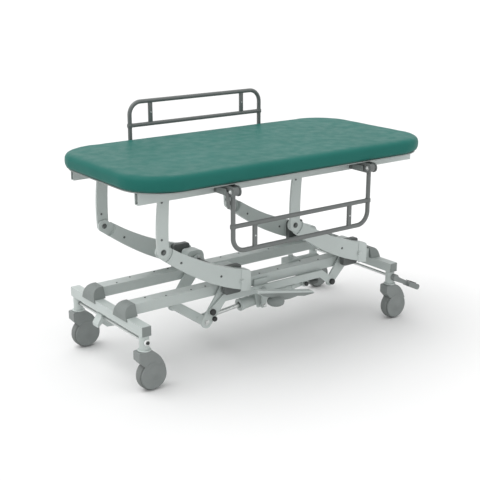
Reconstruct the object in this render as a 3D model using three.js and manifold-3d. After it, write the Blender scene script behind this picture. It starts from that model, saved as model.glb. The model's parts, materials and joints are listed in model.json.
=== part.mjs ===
// Height-adjustable hygiene and stretcher trolley with drop-side rails.
// Units are millimetres, +Z is up, X runs along the bed and Y across it.
// The origin lies on the floor, midway between the ends and the sides of the mattress.
import * as THREE from 'three';
import { mergeVertices } from 'three/addons/utils/BufferGeometryUtils.js';
import Module from 'manifold-3d';

const wasm = await Module();
wasm.setup();

// ---------------------------------------------------------------- driving dimensions
const GAP = 0.3;

const MATTRESS = { length: 1504, width: 758, corner: 190, bottom: 791.3, top: 850.7, soft: 20 };
const DECK = { inset: 16, bottom: 786.8, thick: 4.2 };
const TOP_RAIL = { x0: -708, x1: 706, outer: 267, width: 25, bottom: 738.5, top: 786.5, wall: 3 };
const TOP_CROSS = { x: 353, half: 20, bottom: 750, top: 780 };

const POST = { inner: 231.5, outer: TOP_RAIL.outer - TOP_RAIL.width - GAP, foot: 25, top: 784 };
const ARM = { inner: 204.5, outer: 236.5, relief: 46, lug: 10 };
const ARM_RUN = 378;
const ARM_RISE = 194;
const PAIR_SPACING = 652;
const LOWER_PIVOT = { x: -210, z: 337 };
const UPPER_PIVOT = { x: LOWER_PIVOT.x - ARM_RUN, z: LOWER_PIVOT.z + ARM_RISE };
const BOLT_HOLE = 8;

const TORSION_R = 18;
const HUB = { inner: 181.5, x0: -64, x1: 19, z0: -58, z1: 64 };
const CRANK = { inner: 164, outer: 171, farInner: 84, farOuter: 91 };
const TIE = { inner: 172.5, outer: 180, half: 16, pinX: -111, pinZ: -126, rise: 48, bend: 62 };
const YOKE = { x: -133, z: -170 };

const BASE_RAIL = { inner: 98, outer: 158, bottom: 271.3, top: 314.3, wall: 4 };
const CROSS = { left: -702.2, right: 607.8, half: 20, bottom: 231, top: 271, reach: 291 };
const COVER = { flare: 20, lean: 0.37, tip: 4, round: 42, seat: 5, over: 9, rise: 3.5, lip: 12 };
const HOUSING = { inner: 103, outer: 153, half: 42, top: 386 };

const CASTER = { y: 270, radius: 62.5, trail: 28, tread: 32, cheek: 5, disc: 56, collar: 168 };
const SOCKET = { radius: 20, flange: 23.5, flangeTop: 173 };
const BRAKE_ROD = { z: 206, flats: 12, reach: 300, bore: 8.5 };

const RAM = { y: -130, pinX: -92, pinZ: -162, baseX: 199, baseZ: 221, outer: 25, bore: 21.8 };
const RAM_TUBE = { start: 60, end: 345 };
const RAM_ROD = { radius: 9, length: 260, eye: 14, eyeWidth: 24 };
const PEDAL = { x: -60, z: 186, shaft: 7, riserInner: 184, riserOuter: 192, reachZ: 256, treadInner: 262,
  treadOuter: 292, padX: -75, padY: -288 };

const SIDE_RAIL = { x: 352.8, height: 243, middle: 142, bend: 58, tube: 9.5, stub: 105 };
const HINGE = { y: 380.5, z: 764, offset: 11, eye: 17, eyeWidth: 24, pin: 5 };
const BRACKET = { nose: 20.5, plate: 5, gap: 13, web: 5, root0: 744, root1: 783 };

const LATCH_FACE = -SIDE_RAIL.x - BRACKET.gap - BRACKET.plate - GAP;
const LATCH = { x: LATCH_FACE, y: 364, z: 754, drop: 52, thick: 6, top: 9, toe: 6 };

// ---------------------------------------------------------------- finishes
const FINISH = {
  frame: { color: 0xbfc8c5, roughness: 0.42, metalness: 0.15 },
  rail: { color: 0x8b908f, roughness: 0.4, metalness: 0.35 },
  moulded: { color: 0x7d8583, roughness: 0.55, metalness: 0.0 },
  caster: { color: 0x858b89, roughness: 0.5, metalness: 0.0 },
  tyre: { color: 0x6b706f, roughness: 0.8, metalness: 0.0 },
  dark: { color: 0x3b4140, roughness: 0.6, metalness: 0.2 },
  steel: { color: 0xb9bcbb, roughness: 0.3, metalness: 0.9 },
  vinyl: { color: 0x2f8577, roughness: 0.5, metalness: 0.0 },
};

// ---------------------------------------------------------------- solid helpers
function solid(geometry) {
  const bare = geometry.index ? geometry.toNonIndexed() : geometry.clone();
  bare.deleteAttribute('normal');
  bare.deleteAttribute('uv');
  const merged = mergeVertices(bare, 1e-4);
  return new wasm.Manifold(new wasm.Mesh({
    numProp: 3,
    vertProperties: Float32Array.from(merged.attributes.position.array),
    triVerts: Uint32Array.from(merged.index.array),
  }));
}

function geometryOf(manifold) {
  const mesh = manifold.getMesh();
  const geometry = new THREE.BufferGeometry();
  geometry.setAttribute('position', new THREE.BufferAttribute(mesh.vertProperties, 3));
  geometry.setIndex(new THREE.BufferAttribute(mesh.triVerts, 1));
  return geometry;
}

function join(...pieces) {
  return geometryOf(pieces.map(solid).reduce((whole, piece) => whole.add(piece)));
}

function cut(body, ...tools) {
  return geometryOf(tools.map(solid).reduce((whole, tool) => whole.subtract(tool), solid(body)));
}

function box(x0, x1, y0, y1, z0, z1) {
  const geometry = new THREE.BoxGeometry(x1 - x0, y1 - y0, z1 - z0);
  return geometry.translate((x0 + x1) / 2, (y0 + y1) / 2, (z0 + z1) / 2);
}

// A cylinder whose axis lies along Y.
function barY(x, z, y0, y1, radius, sides = 20) {
  const geometry = new THREE.CylinderGeometry(radius, radius, y1 - y0, sides);
  return geometry.translate(x, (y0 + y1) / 2, z);
}

// A cylinder whose axis lies along X.
function barX(y, z, x0, x1, radius, sides = 20) {
  const geometry = new THREE.CylinderGeometry(radius, radius, x1 - x0, sides);
  return geometry.rotateZ(Math.PI / 2).translate((x0 + x1) / 2, y, z);
}

// A cylinder whose axis lies along Z.
function barZ(x, y, z0, z1, radius, sides = 20) {
  const geometry = new THREE.CylinderGeometry(radius, radius, z1 - z0, sides);
  return geometry.rotateX(Math.PI / 2).translate(x, y, (z0 + z1) / 2);
}

// A plate cut from a shape drawn in X (right) and Z (up), between two Y values.
function plateY(shape, y0, y1, curveSegments = 8) {
  const options = { depth: y1 - y0, bevelEnabled: false, curveSegments };
  return new THREE.ExtrudeGeometry(shape, options).rotateX(Math.PI / 2).translate(0, y1, 0);
}

// A plate cut from a shape drawn in Y (right) and Z (up), between two X values.
function plateX(shape, x0, x1, curveSegments = 8) {
  const options = { depth: x1 - x0, bevelEnabled: false, curveSegments };
  const geometry = new THREE.ExtrudeGeometry(shape, options);
  return geometry.rotateX(Math.PI / 2).rotateZ(Math.PI / 2).translate(x0, 0, 0);
}

function polygon(points) {
  return new THREE.Shape(points.map(([a, b]) => new THREE.Vector2(a, b)));
}

function roundedRectangle(x0, x1, y0, y1, radius) {
  const shape = new THREE.Shape();
  shape.moveTo(x0 + radius, y0);
  shape.lineTo(x1 - radius, y0);
  shape.absarc(x1 - radius, y0 + radius, radius, -Math.PI / 2, 0);
  shape.lineTo(x1, y1 - radius);
  shape.absarc(x1 - radius, y1 - radius, radius, 0, Math.PI / 2);
  shape.lineTo(x0 + radius, y1);
  shape.absarc(x0 + radius, y1 - radius, radius, Math.PI / 2, Math.PI);
  shape.lineTo(x0, y0 + radius);
  shape.absarc(x0 + radius, y0 + radius, radius, Math.PI, Math.PI * 1.5);
  return shape;
}

// The outline of a belt round two circles, as on a crank or a link.
function beltShape(ax, az, ar, bx, bz, br) {
  const along = Math.atan2(bz - az, bx - ax);
  const lean = Math.acos((ar - br) / Math.hypot(bx - ax, bz - az));
  const shape = new THREE.Shape();
  shape.absarc(bx, bz, br, along - lean, along + lean, false);
  shape.absarc(ax, az, ar, along + lean, along - lean + Math.PI * 2, false);
  return shape;
}

function tubeAlong(points, radius, sides = 10, steps = 60) {
  const path = new THREE.CurvePath();
  points.forEach((curve) => path.add(curve));
  const section = new THREE.Shape();
  section.absarc(0, 0, radius, 0, Math.PI * 2);
  const options = { steps, extrudePath: path, bevelEnabled: false, curveSegments: sides };
  return new THREE.ExtrudeGeometry(section, options);
}

const trolley = new THREE.Group();

function add(name, geometry, finish) {
  const mesh = new THREE.Mesh(geometry, new THREE.MeshStandardMaterial(FINISH[finish]));
  mesh.name = name;
  trolley.add(mesh);
  return mesh;
}

const SIDES = [['near', -1], ['far', 1]];
const PAIRS = [['left', 0], ['right', PAIR_SPACING]];

// Orders two Y distances from the centre line for the given side of the trolley.
function across(side, inner, outer) {
  return side > 0 ? [inner, outer] : [-outer, -inner];
}

// ---------------------------------------------------------------- mattress and top frame
function mattress() {
  const { length, width, corner, bottom, top, soft } = MATTRESS;
  const half = { x: length / 2 - soft, y: width / 2 - soft };
  const shape = roundedRectangle(-half.x, half.x, -half.y, half.y, corner - soft);
  const geometry = new THREE.ExtrudeGeometry(shape, {
    depth: top - bottom - 2 * soft,
    bevelEnabled: true,
    bevelThickness: soft,
    bevelSize: soft,
    bevelSegments: 4,
    curveSegments: 12,
  });
  return geometry.translate(0, 0, bottom + soft);
}

function deck() {
  const x = MATTRESS.length / 2 - DECK.inset;
  const y = MATTRESS.width / 2 - DECK.inset;
  const shape = roundedRectangle(-x, x, -y, y, MATTRESS.corner - DECK.inset);
  const options = { depth: DECK.thick, bevelEnabled: false, curveSegments: 10 };
  return new THREE.ExtrudeGeometry(shape, options).translate(0, 0, DECK.bottom);
}

function topRail(side) {
  const { x0, x1, outer, width, bottom, top, wall } = TOP_RAIL;
  const [y0, y1] = across(side, outer - width, outer);
  const bore = box(x0 - 1, x1 + 1, y0 + wall, y1 - wall, bottom + wall, top - wall);
  return cut(box(x0, x1, y0, y1, bottom, top), bore);
}

function topCrossRail(x) {
  const y = TOP_RAIL.outer - TOP_RAIL.width - GAP;
  return box(x - TOP_CROSS.half, x + TOP_CROSS.half, -y, y, TOP_CROSS.bottom, TOP_CROSS.top);
}

// The drop post is slightly bowed and widens to a round foot about the upper pivot.
function post(side, shift) {
  const { x, z } = UPPER_PIVOT;
  const height = POST.top - z;
  const shape = new THREE.Shape();
  shape.moveTo(x + 36, z + height);
  shape.lineTo(x - 9, z + height);
  shape.quadraticCurveTo(x - 34, z + height * 0.5, x - POST.foot, z);
  shape.absarc(x, z, POST.foot, Math.PI, Math.PI * 2, false);
  shape.quadraticCurveTo(x + 21, z + height * 0.5, x + 36, z + height);
  const [y0, y1] = across(side, POST.inner, POST.outer);
  const plate = plateY(shape, y0, y1, 10);
  const bore = barY(x, z, y0 - 1, y1 + 1, BOLT_HOLE, 12);
  return cut(plate, bore).translate(shift, 0, 0);
}

// ---------------------------------------------------------------- lifting arms
// The arm is a curved deep section: round at the drop post and blunt beyond the lower pivot.
function armShape() {
  const shape = new THREE.Shape();
  const eye = 27;
  shape.moveTo(43, -47);
  shape.lineTo(43, 25);
  shape.quadraticCurveTo(43, 44, 27, 46);
  shape.bezierCurveTo(-90, 72, -215, 122, -345, 206);
  shape.absarc(-ARM_RUN, ARM_RISE, eye, 0.34, Math.PI + 0.9, false);
  shape.bezierCurveTo(-310, 115, -180, 5, 43, -47);
  return shape;
}

// Both faces are relieved round the upper pivot, which leaves a thin lug for the post to lap.
function arm(side, shift) {
  const [y0, y1] = across(side, ARM.inner, ARM.outer);
  const [lap0, lap1] = across(side, POST.inner - GAP, ARM.outer + 1);
  const plate = plateY(armShape(), y0, y1, 14);
  const bore = barY(-ARM_RUN, ARM_RISE, y0 - 1, y1 + 1, BOLT_HOLE, 12);
  const [back0, back1] = across(side, ARM.inner - 1, POST.inner - GAP - ARM.lug);
  const outerRelief = barY(-ARM_RUN, ARM_RISE, lap0, lap1, ARM.relief, 40);
  const innerRelief = barY(-ARM_RUN, ARM_RISE, back0, back1, ARM.relief, 40);
  const blank = cut(plate, bore, outerRelief, innerRelief);
  return blank.translate(LOWER_PIVOT.x + shift, 0, LOWER_PIVOT.z);
}

// The torsion tube ties two arms together and carries a hub block behind each arm.
function torsionTube(shift) {
  const reach = ARM.inner - GAP;
  const tube = barY(0, 0, -reach, reach, TORSION_R, 24);
  const hubs = SIDES.map(([, side]) => {
    const [y0, y1] = across(side, HUB.inner, reach);
    return plateY(roundedRectangle(HUB.x0, HUB.x1, HUB.z0, HUB.z1, 12), y0, y1, 3);
  });
  return join(tube, ...hubs).translate(LOWER_PIVOT.x + shift, 0, LOWER_PIVOT.z);
}

function crank(y0, y1, shift, footX, footZ, footR, pinned) {
  const plate = plateY(beltShape(0, 0, 33, footX, footZ, footR), y0, y1, 10);
  const tools = [barY(0, 0, y0 - 1, y1 + 1, TORSION_R + GAP, 24)];
  if (pinned) tools.push(barY(TIE.pinX, TIE.pinZ, y0 - 1, y1 + 1, BOLT_HOLE + GAP, 12));
  return cut(plate, ...tools).translate(LOWER_PIVOT.x + shift, 0, LOWER_PIVOT.z);
}

// The yoke beam joins the two left cranks and holds the lugs that the ram pushes.
function yokeBeam() {
  const tilt = Math.atan2(YOKE.z, YOKE.x);
  const section = roundedRectangle(-20, 20, -12, 12, 5);
  const bar = plateY(section, GAP - CRANK.inner, CRANK.farInner - GAP, 3);
  const beam = bar.rotateY(-tilt).translate(YOKE.x, 0, YOKE.z);
  const lugs = [-1, 1].map((end) => {
    const inner = RAM.y + end * (RAM_ROD.eyeWidth / 2 + 1.5);
    const outer = inner + end * 6;
    const belt = beltShape(YOKE.x, YOKE.z, 14, RAM.pinX, RAM.pinZ, 12);
    return plateY(belt, Math.min(inner, outer), Math.max(inner, outer), 6);
  });
  const bore = barY(RAM.pinX, RAM.pinZ, RAM.y - 30, RAM.y + 30, 5.5, 12);
  return cut(join(beam, ...lugs), bore).translate(LOWER_PIVOT.x, 0, LOWER_PIVOT.z);
}

// The tie bar keeps the two pairs of arms parallel; its ends drop to the crank pins.
function tieBar() {
  const x0 = LOWER_PIVOT.x + TIE.pinX;
  const x1 = x0 + PAIR_SPACING;
  const z0 = LOWER_PIVOT.z + TIE.pinZ;
  const z1 = z0 + TIE.rise;
  const ends = [[x0, x0 + TIE.bend], [x1, x1 - TIE.bend]];
  const limbs = ends.map(([pin, bend]) => {
    return plateY(beltShape(pin, z0, TIE.half, bend, z1, TIE.half), -TIE.outer, -TIE.inner, 6);
  });
  const span = box(x0 + TIE.bend, x1 - TIE.bend, -TIE.outer, -TIE.inner, z1 - TIE.half, z1 + TIE.half);
  const pin = barY(x0, z0, -TIE.outer - 6, -CRANK.inner - 1, BOLT_HOLE, 12);
  const bore = barY(x1, z0, -TIE.outer - 1, -TIE.inner + 1, BOLT_HOLE, 12);
  return cut(join(...limbs, span, pin), bore);
}

// ---------------------------------------------------------------- hydraulic ram and pedals
function ramPins() {
  const base = new THREE.Vector3(RAM.baseX, RAM.y, RAM.baseZ);
  const head = new THREE.Vector3(LOWER_PIVOT.x + RAM.pinX, RAM.y, LOWER_PIVOT.z + RAM.pinZ);
  return { base, head };
}

// Turns a solid drawn along +X from the ram's base pin until it points at the yoke.
function alongRam(geometry, origin, towards) {
  const angle = Math.atan2(towards.z - origin.z, towards.x - origin.x);
  return geometry.rotateY(-angle).translate(origin.x, origin.y, origin.z);
}

function ramCylinder() {
  const { base, head } = ramPins();
  const barrel = barX(0, 0, RAM_TUBE.start, RAM_TUBE.end, RAM.outer, 24);
  const neck = box(0, RAM_TUBE.start + 5, -12, 12, -12, 12);
  const eye = barY(0, 0, -14, 14, 15, 16);
  const bore = barX(0, 0, RAM_TUBE.start + 25, RAM_TUBE.end + 1, RAM.bore, 20);
  const pinHole = barY(0, 0, -15, 15, 6.5, 12);
  return alongRam(cut(join(barrel, neck, eye), bore, pinHole), base, head);
}

function ramRod() {
  const { base, head } = ramPins();
  const rod = barX(0, 0, RAM_ROD.eye - 4, RAM_ROD.length, RAM_ROD.radius, 16);
  const eye = barY(0, 0, -RAM_ROD.eyeWidth / 2, RAM_ROD.eyeWidth / 2, RAM_ROD.eye, 16);
  const pin = barY(0, 0, -24, 24, 5, 12);
  return alongRam(join(rod, eye, pin), head, base);
}

function ramBracket() {
  const pad = box(172, 292, -156, -100, 261, BASE_RAIL.bottom - GAP);
  const lugs = [-1, 1].map((end) => {
    const inner = RAM.y + end * 15;
    const outer = inner + end * 7;
    const belt = beltShape(RAM.baseX, 268, 22, RAM.baseX, RAM.baseZ, 16);
    return plateY(belt, Math.min(inner, outer), Math.max(inner, outer), 6);
  });
  const pin = barY(RAM.baseX, RAM.baseZ, RAM.y - 22, RAM.y + 22, 6, 12);
  const trimmed = join(pad, ...lugs, pin);
  return cut(trimmed, box(150, 320, -170, -90, BASE_RAIL.bottom - GAP, 320));
}

function pedalBracket() {
  const shape = polygon([[-96, 300], [-24, 300], [-24, 262], [-44, 172], [-76, 172], [-96, 262]]);
  const [y0, y1] = [-168, -BASE_RAIL.outer - GAP];
  return cut(plateY(shape, y0, y1), barY(PEDAL.x, PEDAL.z, y0 - 1, y1 + 1, PEDAL.shaft + 1, 16));
}

// A rocker pedal: the shaft crosses under the tie bar and the tread lies outside the arms.
function rockerPedal() {
  const shaft = barY(PEDAL.x, PEDAL.z, -PEDAL.riserOuter, -160, PEDAL.shaft, 16);
  const web = polygon([[-72, 177], [-48, 177], [-49, 265], [-71, 265]]);
  const riser = plateY(web, -PEDAL.riserOuter, -PEDAL.riserInner);
  const reach = barY(PEDAL.x, PEDAL.reachZ, -PEDAL.treadInner - 2, -PEDAL.riserOuter + 2, 8, 16);
  const treadShape = polygon([[-171, 290], [-174, 303], [126, 240], [134, 229], [76, 228], [40, 236],
    [0, 232], [-36, 234], [-98, 258], [-144, 273]]);
  const tread = plateY(treadShape, -PEDAL.treadOuter, -PEDAL.treadInner);
  return join(shaft, riser, reach, tread);
}

function pedalPad() {
  const profile = [[0, 221], [25, 221], [34, 227], [36.5, 237], [31, 248], [18, 255], [0, 257]];
  const points = profile.map(([r, z]) => new THREE.Vector2(r, z));
  const dome = new THREE.LatheGeometry(points, 24).rotateX(Math.PI / 2);
  const stem = barZ(0, 8, 250, 266, 9, 12);
  return join(dome, stem).translate(PEDAL.padX, PEDAL.padY, 0);
}

function buffer() {
  const profile = [[0, 206], [20, 208], [24, 216], [22, 222], [8, 226], [8, 260.7], [0, 260.7]];
  const points = profile.map(([r, z]) => new THREE.Vector2(r, z));
  return new THREE.LatheGeometry(points, 20).rotateX(Math.PI / 2).translate(262, -136, 0);
}

function pumpUnit() {
  const block = box(150, 214, -BASE_RAIL.inner + GAP, -44, 262, 322);
  const tank = barX(-71, 296, 200, 330, 24, 20);
  const cap = barX(-71, 296, 326, 340, 17, 16);
  const valve = barZ(182, -70, 318, 338, 11, 12);
  return join(block, tank, cap, valve);
}

// ---------------------------------------------------------------- base frame
function baseRail(side) {
  const { inner, outer, bottom, top, wall } = BASE_RAIL;
  const [y0, y1] = across(side, inner, outer);
  const x0 = CROSS.left + COVER.seat;
  const x1 = CROSS.right - COVER.seat;
  const bore = box(x0 - 1, x1 + 1, y0 + wall, y1 - wall, bottom + wall, top - wall);
  return cut(box(x0, x1, y0, y1, bottom, top), bore);
}

function socket(x, side) {
  const body = barZ(x, side * CASTER.y, CASTER.collar + 5, CROSS.bottom + 2, SOCKET.radius, 24);
  const bottom = CASTER.collar + GAP;
  const flange = barZ(x, side * CASTER.y, bottom, SOCKET.flangeTop, SOCKET.flange, 24);
  return join(body, flange);
}

// A square cross member with a caster socket welded under each end.
function endFrame(x) {
  const { half, bottom, top, reach } = CROSS;
  const beam = box(x - half, x + half, -reach, reach, bottom, top);
  const sockets = SIDES.map(([, side]) => socket(x, side));
  const passage = barY(x, BRAKE_ROD.z, -reach - 5, reach + 5, BRAKE_ROD.bore, 12);
  return cut(join(beam, ...sockets), passage);
}

// A moulded cover fits over the end of each base rail: a quarter round that flares downwards,
// with a lip over the outer face of the cross member.
function railCover(side, end) {
  const { inner, outer, bottom, top } = BASE_RAIL;
  const x = end < 0 ? CROSS.left : CROSS.right;
  const inward = x - end * (CROSS.half + COVER.over);
  const tip = x + end * (CROSS.half + COVER.tip);
  const face = x + end * (CROSS.half + GAP);
  const crown = top + COVER.rise;
  const shape = new THREE.Shape();
  shape.moveTo(inward, bottom);
  shape.lineTo(inward, crown);
  shape.lineTo(tip - end * COVER.round, crown);
  shape.quadraticCurveTo(tip, crown, tip, bottom);
  shape.lineTo(tip, bottom - COVER.lip);
  shape.lineTo(face, bottom - COVER.lip);
  shape.lineTo(face, bottom);
  const [y0, y1] = across(side, inner - COVER.flare, outer + COVER.flare);
  const block = plateY(shape, y0, y1, 8);
  const position = block.attributes.position;
  const centre = (y0 + y1) / 2;
  for (let i = 0; i < position.count; i += 1) {
    const inset = COVER.lean * (position.getZ(i) - bottom);
    const y = position.getY(i);
    position.setY(i, y - Math.sign(y - centre) * inset);
  }
  const [r0, r1] = across(side, inner - GAP, outer + GAP);
  const seat = x - end * (COVER.seat - GAP);
  const far = x - end * (CROSS.half + COVER.over + 1);
  const rail = box(Math.min(seat, far), Math.max(seat, far), r0, r1, bottom - 1, top + GAP);
  return cut(block, rail);
}

// A pillow block on the base rail, bored for the torsion tube.
function housing(side, shift) {
  const [y0, y1] = across(side, HOUSING.inner, HOUSING.outer);
  const x = LOWER_PIVOT.x + shift;
  const base = BASE_RAIL.top + GAP;
  const shape = new THREE.Shape();
  shape.moveTo(x - HOUSING.half, base);
  shape.lineTo(x + HOUSING.half, base);
  shape.lineTo(x + HOUSING.half, LOWER_PIVOT.z + 14);
  shape.quadraticCurveTo(x + HOUSING.half, HOUSING.top - 4, x + 14, HOUSING.top);
  shape.lineTo(x - 26, HOUSING.top);
  shape.quadraticCurveTo(x - HOUSING.half, HOUSING.top, x - HOUSING.half, HOUSING.top - 22);
  const bore = barY(x, LOWER_PIVOT.z, y0 - 1, y1 + 1, TORSION_R + 0.6, 24);
  return cut(plateY(shape, y0, y1, 5), bore);
}

// ---------------------------------------------------------------- casters and brakes
function casterHood() {
  const { trail, radius, tread, cheek, disc, collar } = CASTER;
  const half = tread / 2 + 1.5 + cheek;
  const hood = new THREE.Shape();
  hood.moveTo(-36, 132);
  hood.lineTo(-36, collar - 6);
  hood.quadraticCurveTo(-36, collar, -30, collar);
  hood.lineTo(14, collar);
  hood.quadraticCurveTo(58, 156, trail + disc - 4, 92);
  hood.lineTo(trail, radius);
  const shell = join(plateY(hood, -half, half, 6), barY(trail, radius, -half, half, disc, 36));
  const wheelRoom = barY(trail, radius, -tread / 2 - 1.5, tread / 2 + 1.5, radius + 3, 32);
  const axle = barY(trail, radius, -half + 1, half - 1, 6, 12);
  const turret = barZ(0, 0, collar - 12, collar, 24, 24);
  return join(cut(shell, wheelRoom), axle, turret);
}

function casterWheel() {
  const { radius, tread } = CASTER;
  const half = tread / 2;
  const profile = [[6.6, -half + 3], [radius - 10, -half + 3], [radius - 7, -half], [radius - 2, -half + 3],
    [radius, -half + 9], [radius, half - 9], [radius - 2, half - 3], [radius - 7, half],
    [radius - 10, half - 3], [6.6, half - 3], [6.6, -half + 3]];
  const points = profile.map(([r, y]) => new THREE.Vector2(r, y));
  return new THREE.LatheGeometry(points, 36).translate(CASTER.trail, 0, radius);
}

function hexRod(x) {
  const corner = BRAKE_ROD.flats / Math.sqrt(3);
  return barY(x, BRAKE_ROD.z, -BRAKE_ROD.reach, BRAKE_ROD.reach, corner, 6);
}

function rodBore(x, y0, y1) {
  return barY(x, BRAKE_ROD.z, y0, y1, BRAKE_ROD.flats / Math.sqrt(3) + GAP, 6);
}

// The end pedal rocks on the left rod: one tread reaches outwards and one under the frame.
function endBrakePedal() {
  const x = CROSS.left;
  const z = BRAKE_ROD.z;
  const hub = barY(x, z, 45, 81, 15, 16);
  const outTread = polygon([[x - 10, z + 8], [x - 32, z - 26], [x - 30, z - 40], [x + 4, z - 12]]);
  const inTread = polygon([[x + 2, z - 6], [x + 34, z - 16], [x + 64, z - 38], [x + 66, z - 50],
    [x + 14, z - 46], [x - 4, z - 30]]);
  const treads = join(hub, plateY(outTread, 41, 85), plateY(inTread, 47, 79));
  return cut(treads, rodBore(x, 33, 93));
}

// The corner pedal is a cranked lever on the outer end of the right rod.
function cornerBrakePedal() {
  const x = CROSS.right;
  const z = BRAKE_ROD.z;
  const [y0, y1] = [-BRAKE_ROD.reach - 12, -CROSS.reach - 2];
  const hub = barY(x, z, y0, y1, 16, 16);
  const lever = polygon([[x - 4, z + 14], [x + 34, z - 8], [x + 84, z - 34], [x + 80, z - 52],
    [x + 26, z - 28], [x - 8, z - 13]]);
  const plate = plateY(lever, y0 + 4, y0 + 14);
  const pad = beltShape(x + 84, z - 46, 11, x + 130, z - 66, 13);
  const tread = plateY(pad, y0 - 12, y1 + 10, 6);
  return cut(join(hub, plate, tread), rodBore(x, y0 + 5, y1 + 1));
}

// ---------------------------------------------------------------- drop-side rails
// Drawn raised on the far side: the hinge line is at y = 0, z = 0 and outwards is +Y.
function sideRailRaised() {
  const { x, height, middle, bend, tube, stub } = SIDE_RAIL;
  const y = HINGE.offset;
  const at = (px, pz) => new THREE.Vector3(px, y, pz);
  const hoop = tubeAlong([
    new THREE.LineCurve3(at(-x, 0), at(-x, height - bend)),
    new THREE.QuadraticBezierCurve3(at(-x, height - bend), at(-x, height), at(bend - x, height)),
    new THREE.LineCurve3(at(bend - x, height), at(x - bend, height)),
    new THREE.QuadraticBezierCurve3(at(x - bend, height), at(x, height), at(x, height - bend)),
    new THREE.LineCurve3(at(x, height - bend), at(x, 0)),
  ], tube, 6, 52);
  const bar = barX(y, middle, -x, x, tube - 0.5, 12);
  const stubs = [-1, 1].map((end) => {
    const centre = end * (x - stub);
    return box(centre - 9, centre + 9, y - 5, y + 5, middle, height);
  });
  const half = HINGE.eyeWidth / 2;
  const eyes = [-x, x].map((centre) => barX(0, 0, centre - half, centre + half, HINGE.eye, 20));
  const bore = [-x, x].map((centre) => barX(0, 0, centre - 20, centre + 20, HINGE.pin + 0.6, 12));
  return cut(join(hoop, bar, ...stubs, ...eyes), ...bore);
}

// The far rail stands raised and the near rail is folded down below its hinge line.
function sideRail(side) {
  const geometry = sideRailRaised();
  if (side < 0) geometry.rotateY(Math.PI);
  return geometry.translate(0, side * HINGE.y, HINGE.z);
}

// A forked bracket carries the hinge pin out from the top frame.
function railBracket(side, x) {
  const root = side * (TOP_RAIL.outer + GAP);
  const end = side * HINGE.y;
  const shape = new THREE.Shape();
  shape.moveTo(root, BRACKET.root0);
  shape.lineTo(end, HINGE.z - BRACKET.nose);
  shape.absarc(end, HINGE.z, BRACKET.nose, -Math.PI / 2, Math.PI / 2, side < 0);
  shape.lineTo(root, BRACKET.root1);
  const plates = [-BRACKET.gap - BRACKET.plate, BRACKET.gap].map((offset) => {
    return plateX(shape, x + offset, x + offset + BRACKET.plate, 8);
  });
  const reach = BRACKET.gap + BRACKET.plate;
  const [y0, y1] = across(side, Math.abs(root), Math.abs(root) + BRACKET.web);
  const web = box(x - reach, x + reach, y0, y1, BRACKET.root0, BRACKET.root1);
  const pin = barX(end, HINGE.z, x - reach - 4, x + reach + 4, HINGE.pin, 12);
  return join(...plates, web, pin);
}

// A short lever hangs below the left bracket and hooks the side rail's upright.
function railLatch(side) {
  const { x, y, z, drop, thick, top, toe } = LATCH;
  const lever = beltShape(side * y, z, top, side * (y + toe), z - drop, top * 0.62);
  return plateX(lever, x - thick, x, 6);
}

// ---------------------------------------------------------------- assembly
add('mattress', mattress(), 'vinyl');
add('deck_plate', deck(), 'frame');
add('top_cross_rail_left', topCrossRail(-TOP_CROSS.x), 'frame');
add('top_cross_rail_right', topCrossRail(TOP_CROSS.x), 'frame');

for (const [sideName, side] of SIDES) {
  add(`top_rail_${sideName}`, topRail(side), 'frame');
  add(`base_rail_${sideName}`, baseRail(side), 'frame');
  add(`side_rail_${sideName}`, sideRail(side), 'rail');
  add(`side_rail_latch_${sideName}`, railLatch(side), 'dark');
  for (const [pairName, shift] of PAIRS) {
    const end = pairName === 'left' ? -1 : 1;
    const corner = `${sideName}_${pairName}`;
    const casterX = end < 0 ? CROSS.left : CROSS.right;
    add(`drop_post_${corner}`, post(side, shift), 'frame');
    add(`lift_arm_${corner}`, arm(side, shift), 'frame');
    add(`bearing_block_${corner}`, housing(side, shift), 'dark');
    add(`rail_cover_${corner}`, railCover(side, end), 'moulded');
    add(`rail_bracket_${corner}`, railBracket(side, end * SIDE_RAIL.x), 'rail');
    add(`caster_hood_${corner}`, casterHood(), 'caster').position.set(casterX, side * CASTER.y, 0);
    add(`caster_wheel_${corner}`, casterWheel(), 'tyre').position.set(casterX, side * CASTER.y, 0);
  }
}

for (const [pairName, shift] of PAIRS) {
  const x = shift === 0 ? CROSS.left : CROSS.right;
  add(`end_frame_${pairName}`, endFrame(x), 'frame');
  add(`brake_rod_${pairName}`, hexRod(x), 'steel');
  add(`torsion_tube_${pairName}`, torsionTube(shift), 'dark');
}

add('crank_near_left', crank(-CRANK.outer, -CRANK.inner, 0, YOKE.x, YOKE.z, 26, true), 'frame');
add('crank_far_left', crank(CRANK.farInner, CRANK.farOuter, 0, YOKE.x, YOKE.z, 26, false), 'frame');
const rightCrank = crank(-CRANK.outer, -CRANK.inner, PAIR_SPACING, TIE.pinX, TIE.pinZ, 22, true);
add('crank_near_right', rightCrank, 'frame');
add('yoke_beam', yokeBeam(), 'frame');
add('tie_bar', tieBar(), 'frame');
add('ram_cylinder', ramCylinder(), 'frame');
add('ram_rod', ramRod(), 'steel');
add('ram_bracket', ramBracket(), 'frame');
add('pump_unit', pumpUnit(), 'frame');
add('pedal_bracket', pedalBracket(), 'frame');
add('rocker_pedal', join(rockerPedal(), pedalPad()), 'moulded');
add('ram_buffer', buffer(), 'dark');
add('end_brake_pedal', endBrakePedal(), 'frame');
add('corner_brake_pedal', cornerBrakePedal(), 'moulded');

export default trolley;
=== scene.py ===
"""Looks for the height-adjustable stretcher trolley: materials, upholstery and fittings."""

import json
import math

import bmesh
import bpy
from mathutils import Matrix, Vector, noise


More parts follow.
